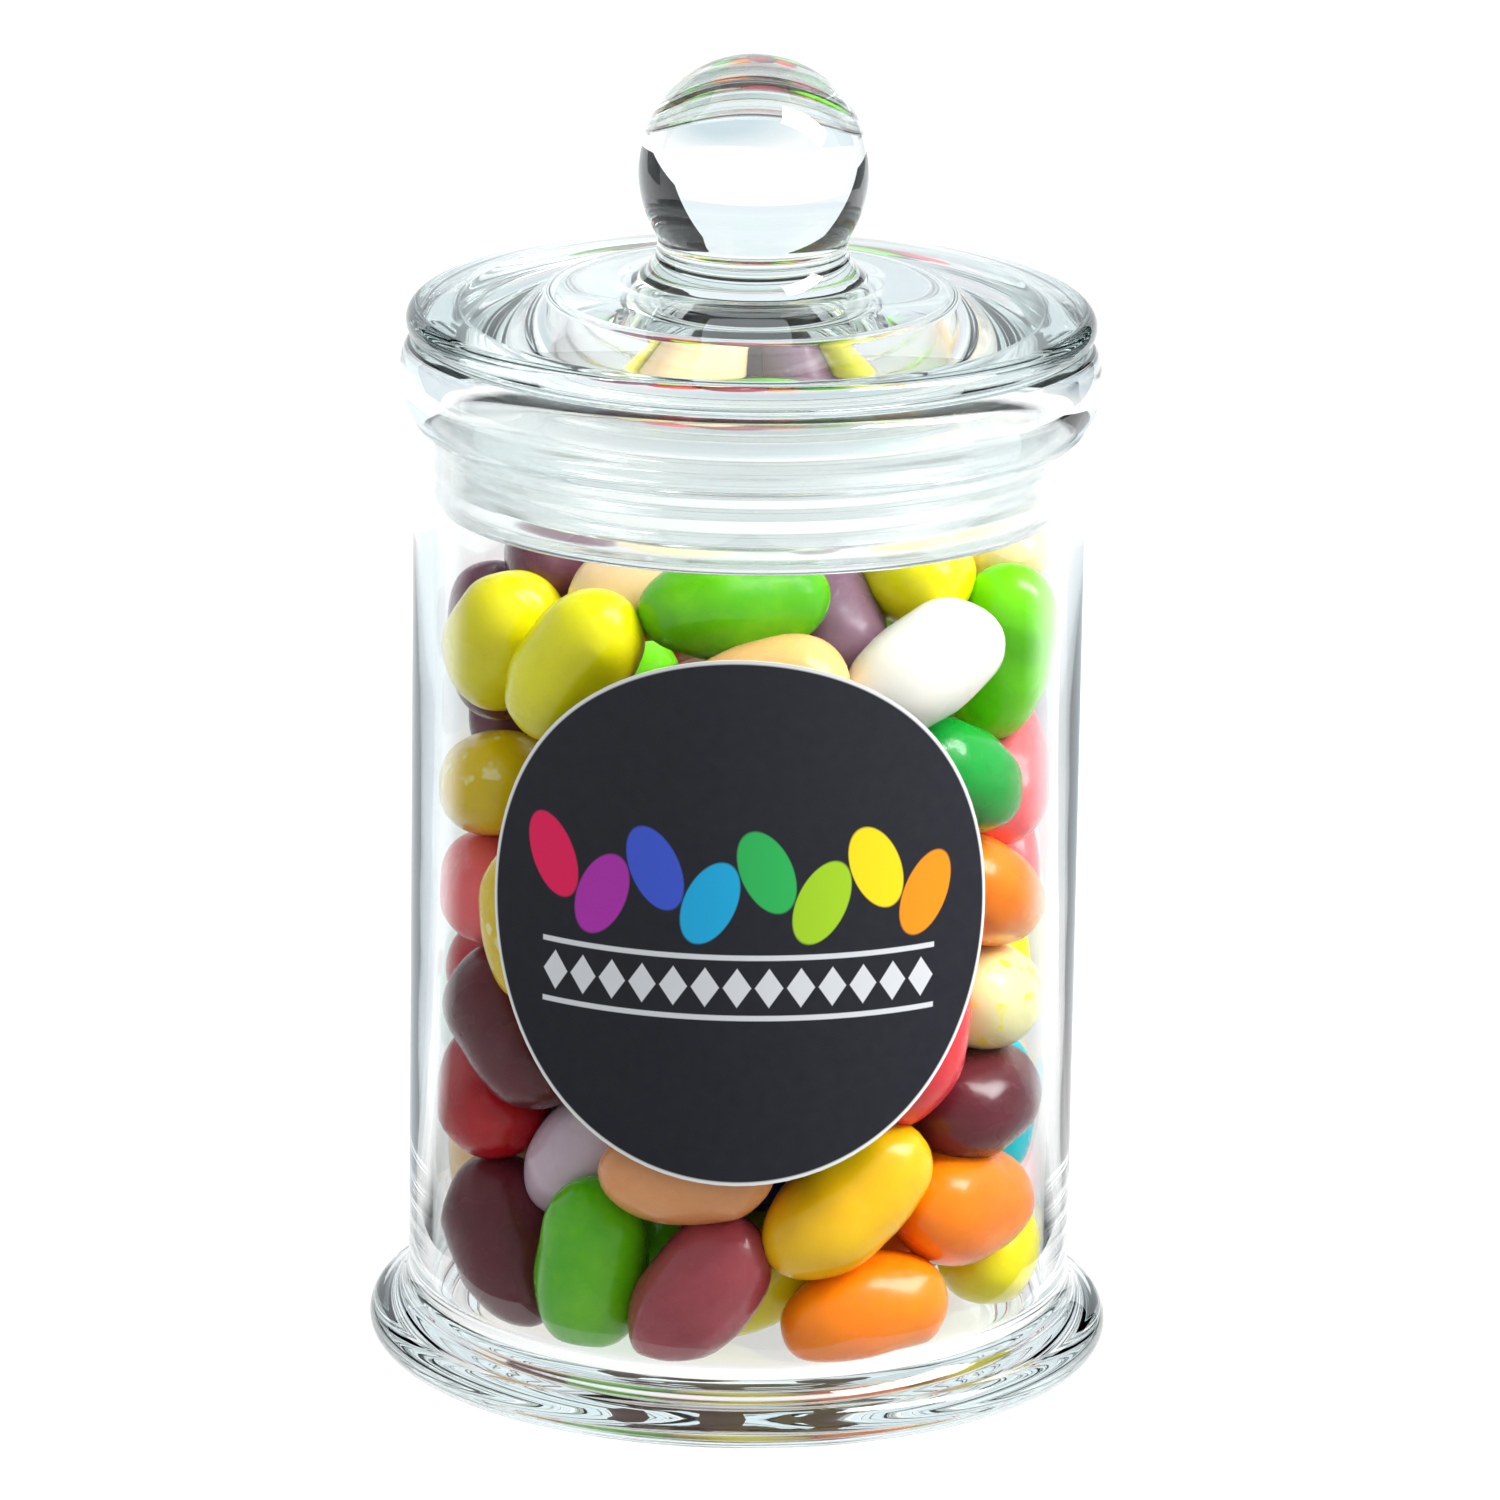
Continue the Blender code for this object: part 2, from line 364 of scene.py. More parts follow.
jar_outline = [
    (0, floor_height),
    *arc((bore_radius - 3.2, floor_height + 3.2), 3.2, -90, 0, 16),
    *arc((bore_radius + 0.8, jar_height - 0.8), 0.8, 180, 90, 10),
    *bow(
        (body_radius, jar_height - 0.1), (collar_radius, jar_height - 0.4), (collar_radius, jar_height - 3.1), 14
    ),
    *bow(
        (collar_radius, jar_height - 3.3),
        (collar_radius - 0.1, jar_height - 5.4),
        (body_radius + 0.1, jar_height - 6.4),
        12,
    ),
    *bow((body_radius, jar_height - 7.0), (body_radius, 50), (body_radius, 8.0), 4),
    *bow((body_radius, 7.4), (body_radius + 0.1, 4.4), (foot_radius - 0.8, 3.6), 16),
    *arc((foot_radius - foot_rounding, foot_rounding), foot_rounding, 52, -90, 22),
    *bow((25.6, 0), (24.2, 0), (23.4, 0.5), 8),
    *bow((22.8, 0.8), (12, 1.2), (0.0, 1.2), 8),
]
jar = finish(lathe("glass_jar", jar_outline), jar_glass, "jar_glass", "jar")

# %% [markdown]
# ## The lid
#
# The lid is a single pressing as well: a solid ball to hold it by, a short neck, a gently domed
# disc, and below it a hollow plug that goes down into the jar. The ball is a strong lens that
# turns the room upside down, so it is drawn as a true circle in the outline.

# %% Turn the lid
lid_top = lid_high.z / MM
lid_bottom = lid_low.z / MM
ball_radius = 10.0
ball_centre = (0, lid_top - ball_radius)
flange_radius = lid_high.x / MM
flange_edge = 1.45
flange_bottom = jar_height + 0.25
plug_radius = seal_high.x / MM - 2.45
mouth_radius = plug_radius - 4.2
lip = 0.5 * (plug_radius - mouth_radius)
ceiling = flange_bottom + 1.4
ceiling_radius = 17.6
neck_foot = (10.0, flange_bottom + 5.3)
flange_top = (flange_radius - flange_edge, flange_bottom + 2 * flange_edge)

ball = arc(ball_centre, ball_radius, 90, -33, 44)
lid_outline = [
    (0, lid_top),
    *ball[1:],
    *bow(ball[-1], (7.6, 97.6), neck_foot, 16)[1:],
    *bow(neck_foot, (0.7 * flange_radius, neck_foot[1] - 0.4), flange_top, 14)[1:-1],
    *arc((flange_top[0], flange_bottom + flange_edge), flange_edge, 90, -90, 22),
    *bow((plug_radius + 0.5, flange_bottom), (plug_radius, flange_bottom), (plug_radius, flange_bottom - 0.5), 4),
    *arc((plug_radius - lip, lid_bottom + lip), lip, 0, -180, 22),
    *bow((ceiling_radius, ceiling - 1.2), (ceiling_radius, ceiling), (ceiling_radius - 1.2, ceiling), 8),
    (0, ceiling),
]
lid = finish(lathe("glass_lid", lid_outline), lid_glass, "lid_glass", "lid")

# %% [markdown]
# ## The seal
#
# Between the plug and the mouth sits a sleeve of soft clear plastic with rings round it that
# bend when the lid is pushed home. Rings of a round-topped wave are enough: the outline
# below walks down them with a cosine. The plastic is a little milky, so part of the light
# scatters in it and the beans behind it smear into pale stripes.

# %% Turn the seal
RIBS = 6
STEPS_A_RIB = 12
seal_top = jar_height - 0.1
seal_bottom = seal_low.z / MM
crest = seal_high.x / MM + 0.3
inner = plug_radius + 0.15
rib_height = (seal_top - seal_bottom - 1.0) / RIBS
rib_depth = 0.6

seal_outline = [(inner + 0.2, seal_top), (crest - rib_depth - 0.1, seal_top)]
for i in range(RIBS * STEPS_A_RIB + 1):
    wave = 0.5 - 0.5 * math.cos(math.tau * i / STEPS_A_RIB)
    radius = crest - rib_depth * (1 - wave**0.7)
    seal_outline.append((radius, seal_top - 0.4 - rib_height * i / STEPS_A_RIB))
seal_outline += arc((crest - rib_depth - 0.4, seal_bottom + 0.4), 0.4, 0, -90, 5)
seal_outline += [(inner, seal_bottom), (inner, seal_top - 0.2)]

seal_plastic = Material("seal_plastic")
cloud = seal_plastic.noise(180, 3.0).clipped(0.3, 0.8)
seal_plastic.set(Base_Color=seal_plastic.mix(cloud, (0.97, 0.985, 0.98), (0.92, 0.95, 0.945)))
seal_plastic.set(Transmission_Weight=0.87, IOR=1.2, Roughness=0.15)
seal_plastic.let_light_through()
seal = finish(lathe("ribbed_seal", seal_outline, closed=True), seal_plastic, "seal_plastic", "seal")

# %% [markdown]
# ## The label
#
# The label is a round sticker. Flat, it is a filled circle; a grid of faces is needed before it
# can bend, so the circle is inset ring by ring. A Simple Deform modifier then bends it
# round the jar, which keeps its true width along the curve, and Solidify gives it the thickness
# of paper. The print is on the flat circle's own map, so it follows the bend.

# %% Model the label
LABEL_RINGS = 16
PAPER = 0.16 * MM
label_radius = 0.5 * (label_high.z - label_low.z)
label_height = 0.5 * (label_high.z + label_low.z)
label_turn = math.radians(-0.8)
on_glass = body_radius * MM + 0.00002

deselect_objects()
bpy.ops.mesh.primitive_circle_add(vertices=96, radius=label_radius, fill_type="NGON", rotation=(math.pi / 2, 0, 0))
label = bpy.context.object
label.name = label.data.name = "round_label"
bpy.ops.object.transform_apply(location=True, rotation=True, scale=True)
bpy.ops.object.mode_set(mode="EDIT")
for _ring in range(LABEL_RINGS - 1):
    bpy.ops.mesh.inset(thickness=label_radius / LABEL_RINGS)
bpy.ops.mesh.poke()
bpy.ops.object.mode_set(mode="OBJECT")

print_map = label.data.uv_layers.new(name="print")
for loop in label.data.loops:
    corner = label.data.vertices[loop.vertex_index].co
    print_map.data[loop.index].uv = (corner.x / label_radius, corner.z / label_radius)

curl = label.modifiers.new("Curl", "SIMPLE_DEFORM")
curl.deform_method = "BEND"
curl.deform_axis = "Z"
curl.angle = 2 * label_radius / on_glass
paper = label.modifiers.new("Paper", "SOLIDIFY")
paper.thickness = PAPER
paper.offset = 1
paper.use_rim = True
for modifier in ("Curl", "Paper"):
    bpy.ops.object.modifier_apply(modifier=modifier)
bpy.ops.object.mode_set(mode="EDIT")
tidy_edit_mesh()
bpy.ops.object.shade_smooth_by_angle(angle=math.radians(40))
label.data.transform(
    Matrix.Rotation(label_turn, 4, "Z") @ Matrix.Translation((0, -on_glass, label_height))
)
low = min(v.co.y for v in label.data.vertices)
print("label stands proud of the glass by", round((-low - body_radius * MM) / MM, 3), "mm")

# %% [markdown]
# ## The label's print
#
# The sticker is black with a bright print: a wavy row of beans in rainbow order over a band of
# silver lozenges between two lines. Each bean is an ellipse, and an ellipse in a material is a
# distance: turn and stretch the map's coordinates, and what is nearer than 1 is inside. The
# lozenges repeat, so one Ping-Pong node folds the whole row onto a single lozenge. Silver ink is
# metal, so its mask feeds Metallic too. The paper's cut edge stays white.

# %% Print the label
label_print = Material("label_print")
flat = label_print.node("ShaderNodeUVMap", {"uv_map": "print"})
across = label_print.node("ShaderNodeSeparateXYZ", {}, {0: flat})
up = across.part("Y")

RAINBOW = [
    (0.78, 0.01, 0.10),
    (0.42, 0.03, 0.40),
    (0.05, 0.10, 0.62),
    (0.01, 0.40, 0.72),
    (0.03, 0.46, 0.10),
    (0.36, 0.62, 0.02),
    (0.92, 0.68, 0.01),
    (0.90, 0.28, 0.01),
]
BEAN_STEP = 0.205
BEAN_ROW = 0.14
BAND_MIDDLE = -0.24
BAND_REACH = 0.76
LOZENGE_STEP = 0.117
LOZENGE_SIZE = (0.052, 0.075)
LINE_SIZE = 0.010


def ellipse(middle, half_length, half_width, turn):
    """A mask that is 1 inside an ellipse on the label, in shares of the label's radius."""
    right, above = across - middle[0], up - middle[1]
    along = right * (math.cos(turn) / half_length) + above * (math.sin(turn) / half_length)
    beside = above * (math.cos(turn) / half_width) - right * (math.sin(turn) / half_width)
    return (along**2.0 + beside**2.0).clipped(1.06, 0.94)


def upright_distance(height):
    """How far a point is above or below this height on the label."""
    return (up - height).maths("ABSOLUTE")


ink = label_print.mix(label_print.noise(900, 2.0), (0.018, 0.0185, 0.025), (0.025, 0.026, 0.033))
for i, colour in enumerate(RAINBOW):
    place = i - 0.5 * (len(RAINBOW) - 1)
    middle = (place * BEAN_STEP, BEAN_ROW + 0.06 * math.cos(math.pi * i))
    leaning = math.radians(90 + 24 * math.cos(math.pi * i))
    ink = label_print.mix(ellipse(middle, 0.165, 0.094, leaning), ink, colour)
fold = (across * (1 / LOZENGE_STEP)).maths("PINGPONG", 0.5)
sideways = fold * (LOZENGE_STEP / LOZENGE_SIZE[0])
lozenges = (sideways + upright_distance(BAND_MIDDLE) * (1 / LOZENGE_SIZE[1])).clipped(1.04, 0.96)
line_gap = upright_distance(BAND_MIDDLE) - 0.115
lines = line_gap.maths("ABSOLUTE").clipped(1.2 * LINE_SIZE, 0.8 * LINE_SIZE)
silver = (lozenges + lines).clipped(0, 1) * across.maths("ABSOLUTE").clipped(BAND_REACH, BAND_REACH - 0.004)
ink = label_print.mix(silver, ink, (0.78, 0.79, 0.82))
outside = (across**2.0 + up**2.0).clipped(0.966, 0.980)
ink = label_print.mix(outside, ink, (0.75, 0.75, 0.74))
label_print.set(Base_Color=ink, Metallic=silver * 0.25)
label_print.set(Roughness=label_print.noise(400, 2.0) * 0.12 + 0.34)
label_print.set(Specular_IOR_Level=0.2)
label_print.bump(label_print.noise(1500, 2.0), 0.12, 0.00005)
finish(label, label_print, "label_print", "label")

# %% [markdown]
# ## One bean
#
# A jelly bean is a rounded block of starch jelly, tumbled in syrup until it has a shell. Its ends
# are blunter than an egg's, and most bow like a kidney. A UV sphere would leave a pinched pole at
# each tip, so a cube is subdivided and cast to a sphere, which has even faces all over. Its two
# halves are then pulled apart, which gives the long middle. Two Simple Deform modifiers make one
# end fatter and bow the bean. Four kinds are modelled, because no two beans are quite alike.

# %% Model four kinds of bean
BEAN_LENGTH = 16.1 * MM
BEAN_WIDTH = 9.9 * MM
BEAN_HEIGHT = 9.5 * MM
CUBE_CUTS = 5


def model_bean(name, length, width, height, bend, taper):
    """A bean along X, centred on the origin, with its hollow side towards +Y."""
    deselect_objects()
    bpy.ops.mesh.primitive_cube_add(size=width)
    made = bpy.context.object
    made.name = made.data.name = name
    bpy.ops.object.mode_set(mode="EDIT")
    bpy.ops.mesh.subdivide(number_cuts=CUBE_CUTS)
    bpy.ops.object.mode_set(mode="OBJECT")
    round_off = made.modifiers.new("Round", "CAST")
    round_off.factor = 1.0
    bpy.ops.object.modifier_apply(modifier="Round")
    for side in (-1, 1):
        for vert in made.data.vertices:
            vert.select = side * vert.co.x > 0.01 * width
        bpy.ops.object.mode_set(mode="EDIT")
        bpy.ops.mesh.select_mode(type="VERT")
        bpy.ops.transform.translate(value=(side * 0.11 * length, 0, 0))
        bpy.ops.mesh.select_all(action="DESELECT")
        bpy.ops.object.mode_set(mode="OBJECT")
    smooth = made.modifiers.new("Smooth", "SUBSURF")
    smooth.levels = smooth.render_levels = 1
    bpy.ops.object.modifier_apply(modifier="Smooth")
    made.scale = [wanted / span for wanted, span in zip((length, width, height), made.dimensions)]
    bpy.ops.object.transform_apply(location=False, rotation=False, scale=True)
    for label_name, method, axis, amount in (
        ("Fatter end", "TAPER", "X", taper),
        ("Kidney", "BEND", "Z", bend),
    ):
        shaped = made.modifiers.new(label_name, "SIMPLE_DEFORM")
        shaped.deform_method = method
        shaped.deform_axis = axis
        if method == "BEND":
            shaped.angle = amount
        else:
            shaped.factor = amount
        bpy.ops.object.modifier_apply(modifier=label_name)
    bpy.ops.object.origin_set(type="ORIGIN_GEOMETRY", center="BOUNDS")
    made.location = (0, 0, 0)
    bpy.ops.object.shade_smooth()
    print(name, "is", [round(d / MM, 1) for d in made.dimensions], "mm,", len(made.data.polygons), "faces")
    return made


bean_kinds = [
    model_bean("bean_plump", 0.97 * BEAN_LENGTH, 1.02 * BEAN_WIDTH, BEAN_HEIGHT, math.radians(14), 0.05),
    model_bean("bean_bowed", 1.03 * BEAN_LENGTH, 0.96 * BEAN_WIDTH, BEAN_HEIGHT, math.radians(44), 0.02),
    model_bean("bean_kidney", BEAN_LENGTH, 0.98 * BEAN_WIDTH, BEAN_HEIGHT, math.radians(32), 0.10),
    model_bean("bean_pear", 0.98 * BEAN_LENGTH, BEAN_WIDTH, BEAN_HEIGHT, math.radians(20), 0.20),
]

# %% [markdown]
# ## Filling the jar
#
# Beans poured into a jar can't be placed one by one, and a physics engine would be slow here. A
# bean is nearly a short row of balls, though, so the cells below treat each as three balls on a
# straight stick. Over and over they let the sticks sink, push apart the balls of two beans that
# overlap, push back those that cross the glass, and make each stick straight again. The beans
# next to the glass at the front start where they should end up and are drawn back there, so that
# the jar shows the mix of colours that it should.

# %% Say where the front beans lie
# flavour, degrees round from the front (right is positive), height in mm, lean in degrees from
# level (anticlockwise is positive), mm in from the glass, kind, and which way the hollow side
# faces: 0 inwards, 90 to the left of the bean's own direction, -90 to its right
FRONT_BEANS = [
    ("lemon", -72, 65.3, 20, 0, "plump", 0),
    ("olive", -43, 66.0, 38, 0, "kidney", 0),
    ("plum", -97, 61.0, 60, 0, "plump", 0),
    ("plum", -84, 71.0, 0, 6, "plump", 0),
    ("cream", -36, 71.0, 5, 9, "plump", 0),
    ("apple", -1, 71.0, 0, 5.5, "bowed", 90),
    ("peach", 4, 67.3, -2, 0, "plump", 0),
    ("mauve", 44, 69.0, 20, 9, "plump", 90),
    ("ivory", 42, 66.0, 36, 0, "pear", 0),
    ("lemon", 67, 71.0, 10, 6, "plump", 0),
    ("lime", 82, 64.5, 97, 0, "bowed", 90),
    ("cream", 103, 71.0, 0, 0, "plump", 0),
    ("emerald", 52, 56.0, 138, 0, "plump", 0),
    ("pink", 87, 51.5, 30, 0, "plump", 0),
    ("pink", 98, 43.5, 75, 0, "plump", 0),
    ("orange", 69, 42.5, -12, 0, "plump", 0),
    ("speckled", 72, 32.8, -16, 0, "plump", 0),
    ("coral", 42, 31.0, 60, 0, "kidney", 0),
    ("maroon", 64, 22.8, -8, 0, "plump", 0),
    ("sky", 97, 18.0, 60, 1, "plump", 0),
    ("orange", 62, 13.6, -10, 0, "plump", 90),
    ("lemon", 90, 9.0, 10, 0, "kidney", 0),
    ("orange", 31, 8.8, 0, 0, "kidney", -90),
    ("orange", 52, 9.5, 60, 8, "plump", 0),
    ("gold", 23, 18.4, 50, 0, "bowed", 90),
    ("olive", 8, 10.0, 80, 7, "plump", 0),
    ("rose", -9, 11.2, 58, 0, "kidney", 0),
    ("navy", 13, 16.5, 17, 8, "plump", 0),
    ("tan", -12, 20.8, 8, 0, "kidney", -90),
    ("apple", -38, 12.6, 90, 0, "plump", 0),
    ("maroon", -66, 11.2, 95, 0, "kidney", 0),
    ("cherry", -77, 20.8, -10, 0, "pear", 0),
    ("lilac", -48, 20.0, 15, 6, "plump", 0),
    ("cream", -98, 15.5, 70, 0, "plump", 0),
    ("maroon", -61, 30.0, -52, 0, "bowed", 90),
    ("cherry", -92, 31.5, 60, 2, "plump", 0),
    ("pink", -82, 40.4, -12, 0, "plump", 0),
    ("mustard", -79, 50.8, 25, 0, "plump", 0),
]

# %% Let the beans settle
FLAVOURS = {
    "lemon": 6,
    "olive": 4,
    "lime": 5,
    "apple": 5,
    "emerald": 4,
    "orange": 8,
    "gold": 5,
    "peach": 4,
    "tan": 3,
    "cream": 3,
    "ivory": 5,
    "mustard": 4,
    "speckled": 3,
    "pink": 7,
    "coral": 4,
    "cherry": 5,
    "rose": 4,
    "maroon": 6,
    "plum": 3,
    "mauve": 3,
    "lilac": 2,
    "sky": 3,
    "navy": 2,
}
STICK = np.array((-3.5, 0, 3.5))
BALL_SIZES = np.array((4.45, 4.8, 4.45))
CORE_RADIUS = 9.0
CORE_TOP = 60.0
FLOOR = floor_height + 0.1
CEILING = round(heap_high.z / MM, 1)
BORE = round(bore_radius, 2)
SNUG = 0.95
HOMING = 0.5
SINK_STEPS = 520
REST_STEPS = 200


def start_places(chance):
    """Flavour, middle, direction, kind and roll of each bean before it sinks, front beans first."""
    left = dict(FLAVOURS)
    beans = []
    for flavour, degrees, height, lean, inset, kind, roll in FRONT_BEANS:
        turn, tilt = math.radians(degrees), math.radians(lean)
        out = np.array((math.sin(turn), -math.cos(turn), 0))
        level = np.array((math.cos(turn), math.sin(turn), 0))
        middle = out * (BORE - BALL_SIZES[1] - 0.2 - inset) + (0, 0, height)
        way = level * math.cos(tilt) + np.array((0, 0, math.sin(tilt)))
        beans.append((flavour, middle, way, kind, math.radians(roll)))
        left[flavour] -= 1
    rest = [flavour for flavour, count in left.items() for _ in range(max(0, count))]
    chance.shuffle(rest)
    for i, flavour in enumerate(rest):
        turn = math.radians(chance.uniform(80, 280)) if i % 4 else chance.uniform(0, math.tau)
        radius = chance.uniform(15, 22) if i % 4 else 13.8
        middle = np.array((radius * math.sin(turn), -radius * math.cos(turn), 12 + 1.35 * i))
        way = chance.normal(size=3)
        kind = chance.choice(("plump", "bowed", "kidney", "pear"))
        beans.append((flavour, middle, way / np.linalg.norm(way), kind, chance.uniform(0, math.tau)))
    return beans


def near_pairs(balls, owner):
    """Which balls of different beans are close enough to touch soon."""
    flat = balls.reshape(-1, 3)
    gap = np.linalg.norm(flat[:, None] - flat[None], axis=-1)
    close = (gap < 12.5) & (owner[:, None] < owner[None, :])
    return np.nonzero(close)


def keep_inside(flat, sizes):
    """Puts balls that cross the glass, the floor, the seal or the core back where they fit."""
    radius = np.hypot(flat[:, 0], flat[:, 1]) + 1e-9
    inside = np.minimum(radius, BORE - 0.1 - sizes)
    beside_core = flat[:, 2] < CORE_TOP + 0.6 * sizes
    inside = np.where(beside_core, np.maximum(inside, CORE_RADIUS + 0.9 * sizes), inside)
    flat[:, :2] *= (inside / radius)[:, None]
    flat[:, 2] = np.clip(flat[:, 2], FLOOR + sizes, None)
    flat[:, 2] = np.minimum(flat[:, 2], np.where(flat[:, 2] < CEILING + 20, CEILING - sizes, flat[:, 2]))


def settle(middles, ways, aimed):
    """Lets sticks of balls sink, pushes them apart and draws the aimed ones home."""
    count = len(middles)
    owner = np.repeat(np.arange(count), len(STICK))
    sizes = np.tile(BALL_SIZES, count)
    balls = middles[:, None] + ways[:, None] * STICK[None, :, None]
    home = balls[aimed].copy()
    for step in range(SINK_STEPS + REST_STEPS):
        if step < SINK_STEPS:
            balls[~aimed, :, 2] -= 0.3
        if step < SINK_STEPS + REST_STEPS // 2:
            balls[aimed] += HOMING * (home - balls[aimed])
        if step % 8 == 0:
            first, second = near_pairs(balls, owner)
            reach = SNUG * (sizes[first] + sizes[second])
        for _pass in range(4):
            flat = balls.reshape(-1, 3)
            between = flat[first] - flat[second]
            gap = np.linalg.norm(between, axis=1) + 1e-9
            overlap = np.clip(reach - gap, 0, None)
            push = between * (0.35 * overlap / gap)[:, None]
            np.add.at(flat, first, push)
            np.add.at(flat, second, -push)
            keep_inside(flat, sizes)
            balls = flat.reshape(count, len(STICK), 3)
            middles = balls.mean(1)
            ways = balls[:, -1] - balls[:, 0]
            ways /= np.linalg.norm(ways, axis=1)[:, None]
            balls = middles[:, None] + ways[:, None] * STICK[None, :, None]
    print("beans:", count, "highest:", round(float(middles[:, 2].max()) + BALL_SIZES[1], 1), "mm")
    print("deepest overlap left:", round(float(overlap.max()), 2), "mm")
    off = np.linalg.norm(middles[aimed] - home[:, 1], axis=1)
    print("front beans off their places:", round(float(off.mean()), 1), "mm, at most", round(float(off.max()), 1))
    return middles, ways


beans = start_places(np.random.default_rng(23))
aimed = np.arange(len(beans)) < len(FRONT_BEANS)
middles, ways = settle(np.array([b[1] for b in beans]), np.array([b[2] for b in beans]), aimed)

# %% [markdown]
# ## A bean for each place
#
# Each place gets a copy of its kind, with its own mesh, a little longer or fatter than the next.
# The kinds bow and the sticks don't, so a bean that would cross the glass is moved back by as much
# as it crosses. Beans of one flavour are then joined, so each flavour is one piece with one
# material. A soft Displace, read at the beans' own places in the jar, gives every shell its own
# dents.

# %% Copy and join the beans
dents = bpy.data.textures.new("dents", "CLOUDS")
dents.noise_scale = 0.005
dents.noise_depth = 1


def dent(piece, depth):
    """Presses soft dents of about this depth in metres into a piece."""
    pressed = piece.modifiers.new("Dents", "DISPLACE")
    pressed.texture = dents
    pressed.texture_coords = "LOCAL"
    pressed.strength = depth
    pressed.mid_level = 0.5
    bpy.ops.object.modifier_apply(modifier="Dents")


def move_off_glass(mesh):
    """Moves a bean's mesh in and up until it is clear of the wall and the floor."""
    points = np.array([v.co[:] for v in mesh.vertices]) / MM
    radius = np.hypot(points[:, 0], points[:, 1])
    far = int(radius.argmax())
    inwards = max(0, radius[far] - (bore_radius - 0.25)) / radius[far]
    up = max(0, FLOOR + 0.2 - points[:, 2].min())
    mesh.transform(Matrix.Translation(Vector((*(-inwards * points[far, :2]), up)) * MM))


def lay_bean(bean, middle, way, stretch):
    """A copy of the bean's kind with its own mesh, laid along way at middle (mm)."""
    flavour, _start, _way, kind, roll = bean
    out = Vector((middle[0], middle[1], 0)).normalized()
    along = Vector(way)
    side = out.cross(along).normalized()
    hollow = side * math.sin(roll) + side.cross(along) * math.cos(roll)
    frame_of_bean = Matrix((along, hollow, along.cross(hollow))).transposed().to_4x4()
    source = bpy.data.objects["bean_" + kind]
    made = bpy.data.objects.new(flavour, source.data.copy())
    bpy.context.scene.collection.objects.link(made)
    made.data.transform(frame_of_bean @ Matrix.Diagonal((*stretch, 1)))
    made.data.transform(Matrix.Translation(Vector(middle) * MM))
    move_off_glass(made.data)
    return made


chance = random.Random(5)
laid = {}
for bean, middle, way in zip(beans, middles, ways):
    stretch = (chance.uniform(0.94, 1.04), chance.uniform(0.96, 1.02), chance.uniform(0.96, 1.02))
    laid.setdefault(bean[0], []).append(lay_bean(bean, middle, way, stretch))

flavour_pieces = {}
for flavour, copies in laid.items():
    deselect_objects()
    for made in copies:
        made.select_set(True)
    bpy.context.view_layer.objects.active = copies[0]
    bpy.ops.object.join()
    piece = bpy.context.object
    piece.name = piece.data.name = "beans_" + flavour
    dent(piece, 0.0006)
    bpy.ops.object.shade_smooth()
    flavour_pieces[flavour] = piece
for kind in bean_kinds:
    bpy.data.objects.remove(kind)
print("bean pieces:", len(flavour_pieces))

# %% [markdown]
# ## Candy shells
#
# The shell is sugar and wax: glossy, and a little uneven in colour where the syrup dried thicker.
# Colour comes from two clouds of noise, a broad one and a fine one, between the flavour's own
# colour and a second one. Some flavours are speckled. The polish is a clear coat over a duller
# shell, with fine dimples.

# %% Make the flavours
CANDY = {
    # shell colour, second colour, how much of it, speckle colour or None
    "lemon": ((0.84, 0.78, 0.003), (0.76, 0.66, 0.002), 0.5, None),
    "olive": ((0.84, 0.80, 0.004), (0.72, 0.66, 0.003), 0.5, None),
    "lime": ((0.20, 0.80, 0.003), (0.12, 0.62, 0.002), 0.6, None),
    "apple": ((0.14, 0.52, 0.003), (0.05, 0.38, 0.003), 0.7, None),
    "emerald": ((0.004, 0.34, 0.035), (0.003, 0.25, 0.02), 0.5, None),
    "orange": ((0.95, 0.24, 0.002), (0.90, 0.16, 0.002), 0.5, None),
    "gold": ((0.90, 0.52, 0.003), (0.86, 0.40, 0.002), 0.5, None),
    "peach": ((0.90, 0.48, 0.20), (0.90, 0.62, 0.16), 0.6, None),
    "tan": ((0.76, 0.30, 0.11), (0.80, 0.38, 0.16), 0.5, None),
    "cream": ((0.90, 0.66, 0.38), (0.88, 0.56, 0.26), 0.5, None),
    "ivory": ((0.88, 0.86, 0.78), (0.84, 0.80, 0.68), 0.4, None),
    "mustard": ((0.78, 0.56, 0.003), (0.72, 0.48, 0.003), 0.6, (0.92, 0.84, 0.40)),
    "speckled": ((0.92, 0.88, 0.36), (0.90, 0.84, 0.50), 0.6, (0.94, 0.88, 0.01)),
    "pink": ((0.86, 0.13, 0.15), (0.84, 0.20, 0.20), 0.5, None),
    "coral": ((0.84, 0.05, 0.06), (0.80, 0.03, 0.04), 0.5, None),
    "cherry": ((0.50, 0.004, 0.012), (0.32, 0.003, 0.006), 0.6, None),
    "rose": ((0.34, 0.055, 0.07), (0.26, 0.03, 0.045), 0.5, None),
    "maroon": ((0.13, 0.018, 0.028), (0.08, 0.009, 0.015), 0.6, None),
    "plum": ((0.14, 0.04, 0.07), (0.10, 0.03, 0.055), 0.6, None),
    "mauve": ((0.22, 0.12, 0.17), (0.16, 0.08, 0.12), 0.5, None),
    "lilac": ((0.52, 0.38, 0.46), (0.60, 0.46, 0.52), 0.5, None),
    "sky": ((0.005, 0.50, 0.58), (0.004, 0.38, 0.48), 0.5, None),
    "navy": ((0.006, 0.03, 0.16), (0.004, 0.015, 0.09), 0.5, None),
}


